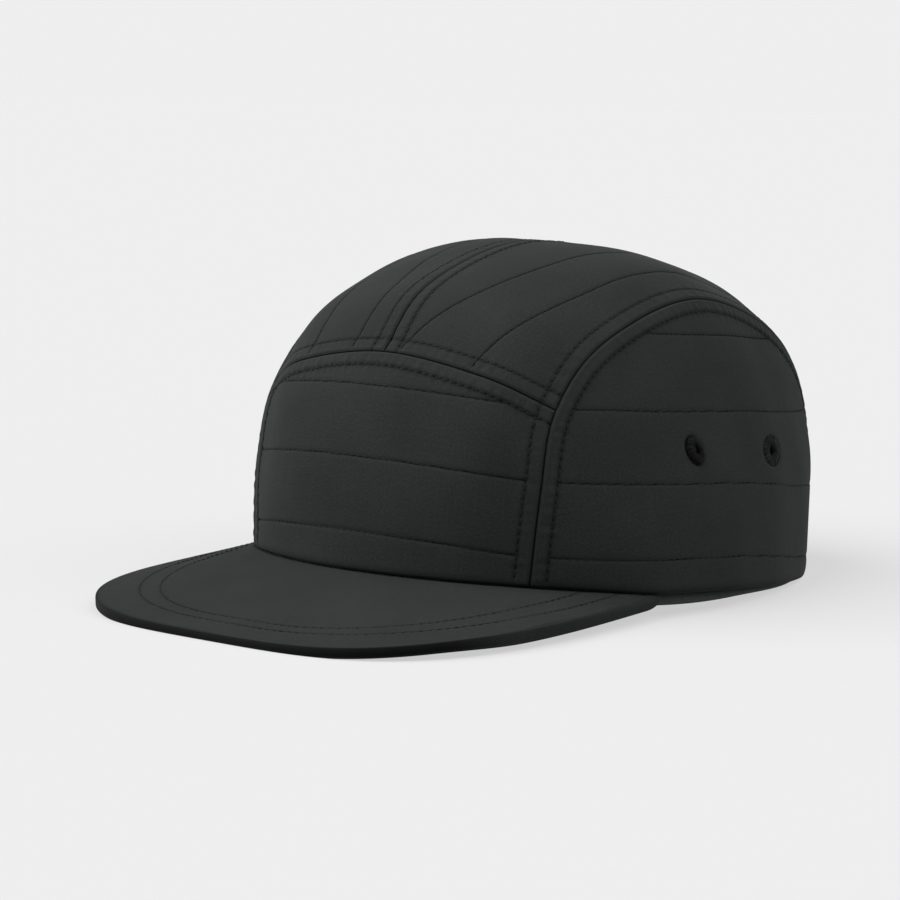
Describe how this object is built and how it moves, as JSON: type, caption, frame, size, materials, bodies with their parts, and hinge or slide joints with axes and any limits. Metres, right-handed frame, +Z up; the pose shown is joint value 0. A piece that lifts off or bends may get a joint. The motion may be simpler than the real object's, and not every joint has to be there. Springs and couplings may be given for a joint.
{
  "type": "five panel cap",
  "caption": "Soft quilted five panel cap with a short curved peak, arched sides with eyelets, and a sweatband inside the hem.",
  "frame": {"origin": "on the floor, under the middle of the cap's bounding box, with the cap resting on the back of its hem and the front of its peak", "axes": "+Z up, the peak points to -Y, +X is the wearer's left"},
  "size_m": [0.178, 0.2606, 0.114],
  "materials": {
    "quilted_cloth": "matte charcoal woven cloth, quilted in parallel lines, seams topstitched on both sides",
    "peak_cloth": "the same matte charcoal cloth, smooth over a stiff board, with stitch rows along its rim",
    "band_cloth": "matte charcoal twill band",
    "eyelet_thread": "dark charcoal sewing thread"
  },
  "bodies": {
    "root": {"front_panel": "quilted_cloth", "top_panel_left": "quilted_cloth", "top_panel_right": "quilted_cloth", "side_panel_left": "quilted_cloth", "side_panel_right": "quilted_cloth", "peak": "peak_cloth", "sweatband": "band_cloth", "eyelet_left_front": "eyelet_thread", "eyelet_left_back": "eyelet_thread", "eyelet_right_front": "eyelet_thread", "eyelet_right_back": "eyelet_thread"}
  },
  "joints": []
}
